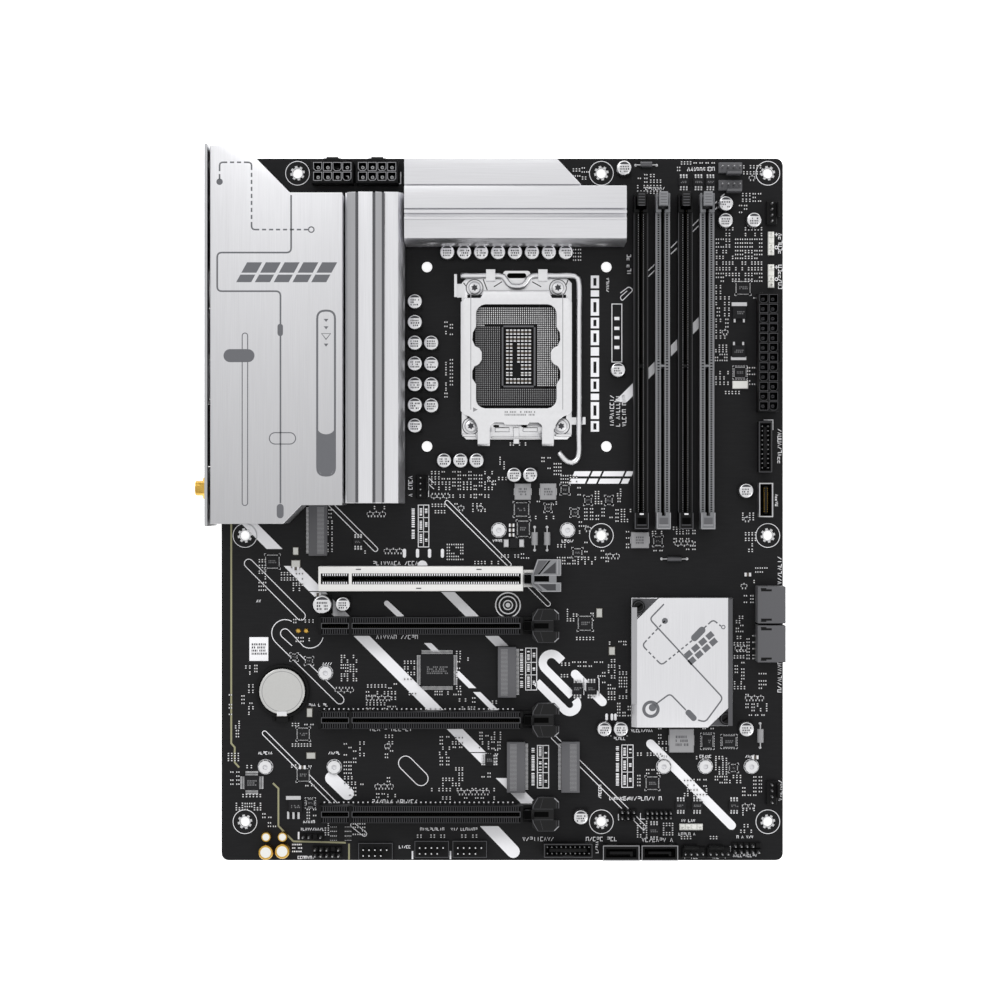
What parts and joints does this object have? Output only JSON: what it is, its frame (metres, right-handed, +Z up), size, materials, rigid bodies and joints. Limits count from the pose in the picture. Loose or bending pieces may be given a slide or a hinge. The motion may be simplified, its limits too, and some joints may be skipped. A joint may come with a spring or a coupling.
{
  "type": "motherboard",
  "caption": "Full-size ATX desktop computer motherboard: black circuit board with brushed heatsinks, rear connector cover, hinged processor socket, memory and card slots and pin headers.",
  "frame": {"origin": "centre of the circuit board's underside", "axes": "+X from the rear connector edge to the front edge, +Y along the board to its processor power edge, +Z up from the component side"},
  "size_m": [0.2527, 0.3069, 0.0444],
  "materials": {
    "circuit_board": "satin solder mask over glass-epoxy laminate, with white print",
    "brushed_aluminium": "fine straight brushed grain",
    "socket_steel": "bright nickel plate",
    "shield_steel": "plated sheet",
    "port_steel": "tin-plated connector shells",
    "slot_armour": "thin plated armour over a plastic slot",
    "black_plastic": "moulded, fine matt texture",
    "latch_black": "moulded, satin",
    "grey_plastic": "moulded, satin",
    "dark_grey_plastic": "moulded, satin",
    "gold_plate": "gold plate, threaded",
    "cell_steel": "lightly brushed cell can",
    "chip_package": "moulded chip package"
  },
  "bodies": {
    "board": {"circuit_board": "circuit_board", "io_cover": "brushed_aluminium", "vrm_heatsink_left": "brushed_aluminium", "vrm_heatsink_top": "brushed_aluminium", "chipset_heatsink": "brushed_aluminium", "socket_frame": "socket_steel", "socket_backplate": "socket_steel", "io_shield": "shield_steel", "usb_c_header": "shield_steel", "wireless_module": "shield_steel", "usb_port_block_1": "port_steel", "usb_port_block_2": "port_steel", "network_port_block": "port_steel", "pcie_slot_1": "slot_armour", "dimm_slot_1": "black_plastic", "dimm_slot_3": "black_plastic", "pcie_slot_2": "black_plastic", "pcie_slot_3": "black_plastic", "pcie_slot_4": "black_plastic", "atx_power_socket": "black_plastic", "cpu_power_socket_1": "black_plastic", "cpu_power_socket_2": "black_plastic", "cpu_socket": "black_plastic", "battery_holder": "black_plastic", "usb3_header_1": "black_plastic", "usb3_header_2": "black_plastic", "usb2_header_1": "black_plastic", "usb2_header_2": "black_plastic", "com_header": "black_plastic", "sata_edge_socket_1": "black_plastic", "sata_edge_socket_2": "black_plastic", "display_port_block": "black_plastic", "audio_jack_block": "black_plastic", "chipset_push_pin_1": "black_plastic", "chipset_push_pin_2": "black_plastic", "button_switch_block": "black_plastic", "dimm_slot_2": "grey_plastic", "dimm_slot_4": "grey_plastic", "m2_socket_1": "grey_plastic", "m2_socket_2": "grey_plastic", "m2_socket_3": "grey_plastic", "m2_socket_4": "grey_plastic", "sata_side_socket_1": "dark_grey_plastic", "sata_side_socket_2": "dark_grey_plastic", "antenna_jack_1": "gold_plate", "antenna_jack_2": "gold_plate", "battery": "cell_steel", "chipset_package": "chip_package"},
    "dimm_latch_1": {"dimm_latch_1": "latch_black"},
    "dimm_latch_2": {"dimm_latch_2": "grey_plastic"},
    "dimm_latch_3": {"dimm_latch_3": "latch_black"},
    "dimm_latch_4": {"dimm_latch_4": "grey_plastic"},
    "pcie_latch_1": {"pcie_latch_1": "grey_plastic"},
    "pcie_latch_2": {"pcie_latch_2": "latch_black"},
    "pcie_latch_3": {"pcie_latch_3": "latch_black"},
    "pcie_latch_4": {"pcie_latch_4": "latch_black"},
    "load_plate": {"load_plate": "socket_steel"},
    "load_lever": {"load_lever": "socket_steel"},
    "flash_button": {"flash_button": "latch_black"},
    "clear_settings_button": {"clear_settings_button": "latch_black"}
  },
  "joints": [
    {"name": "memory_latch_1_hinge", "type": "hinge", "parent": "board", "child": "dimm_latch_1", "pos_m": [0.0599, 0.13345, 0.00565], "axis": [-1, 0, 0], "range_deg": [0, 28]},
    {"name": "memory_latch_2_hinge", "type": "hinge", "parent": "board", "child": "dimm_latch_2", "pos_m": [0.06935, 0.13345, 0.00565], "axis": [-1, 0, 0], "range_deg": [0, 28]},
    {"name": "memory_latch_3_hinge", "type": "hinge", "parent": "board", "child": "dimm_latch_3", "pos_m": [0.0791, 0.13345, 0.00565], "axis": [-1, 0, 0], "range_deg": [0, 28]},
    {"name": "memory_latch_4_hinge", "type": "hinge", "parent": "board", "child": "dimm_latch_4", "pos_m": [0.0885, 0.13345, 0.00565], "axis": [-1, 0, 0], "range_deg": [0, 28]},
    {"name": "card_latch_1_hinge", "type": "hinge", "parent": "board", "child": "pcie_latch_1", "pos_m": [0.0114, -0.0299, 0.00525], "axis": [0, 1, 0], "range_deg": [0, 20]},
    {"name": "card_latch_2_hinge", "type": "hinge", "parent": "board", "child": "pcie_latch_2", "pos_m": [0.0114, -0.0502, 0.00525], "axis": [0, 1, 0], "range_deg": [0, 20]},
    {"name": "card_latch_3_hinge", "type": "hinge", "parent": "board", "child": "pcie_latch_3", "pos_m": [0.0114, -0.0909, 0.00525], "axis": [0, 1, 0], "range_deg": [0, 20]},
    {"name": "card_latch_4_hinge", "type": "hinge", "parent": "board", "child": "pcie_latch_4", "pos_m": [0.0114, -0.1315, 0.00525], "axis": [0, 1, 0], "range_deg": [0, 20]},
    {"name": "load_plate_hinge", "type": "hinge", "parent": "board", "child": "load_plate", "pos_m": [0.0063, 0.0286, 0.0033], "axis": [1, 0, 0], "range_deg": [0, 90]},
    {"name": "load_lever_hinge", "type": "hinge", "parent": "board", "child": "load_lever", "pos_m": [0.0063, 0.1015, 0.0047], "axis": [-1, 0, 0], "range_deg": [0, 105]},
    {"name": "flash_button_press", "type": "slide", "parent": "board", "child": "flash_button", "axis": [1, 0, 0], "range_m": [0, 0.0008], "stiffness_N_per_m": 600},
    {"name": "clear_settings_button_press", "type": "slide", "parent": "board", "child": "clear_settings_button", "axis": [1, 0, 0], "range_m": [0, 0.0008], "stiffness_N_per_m": 600}
  ]
}
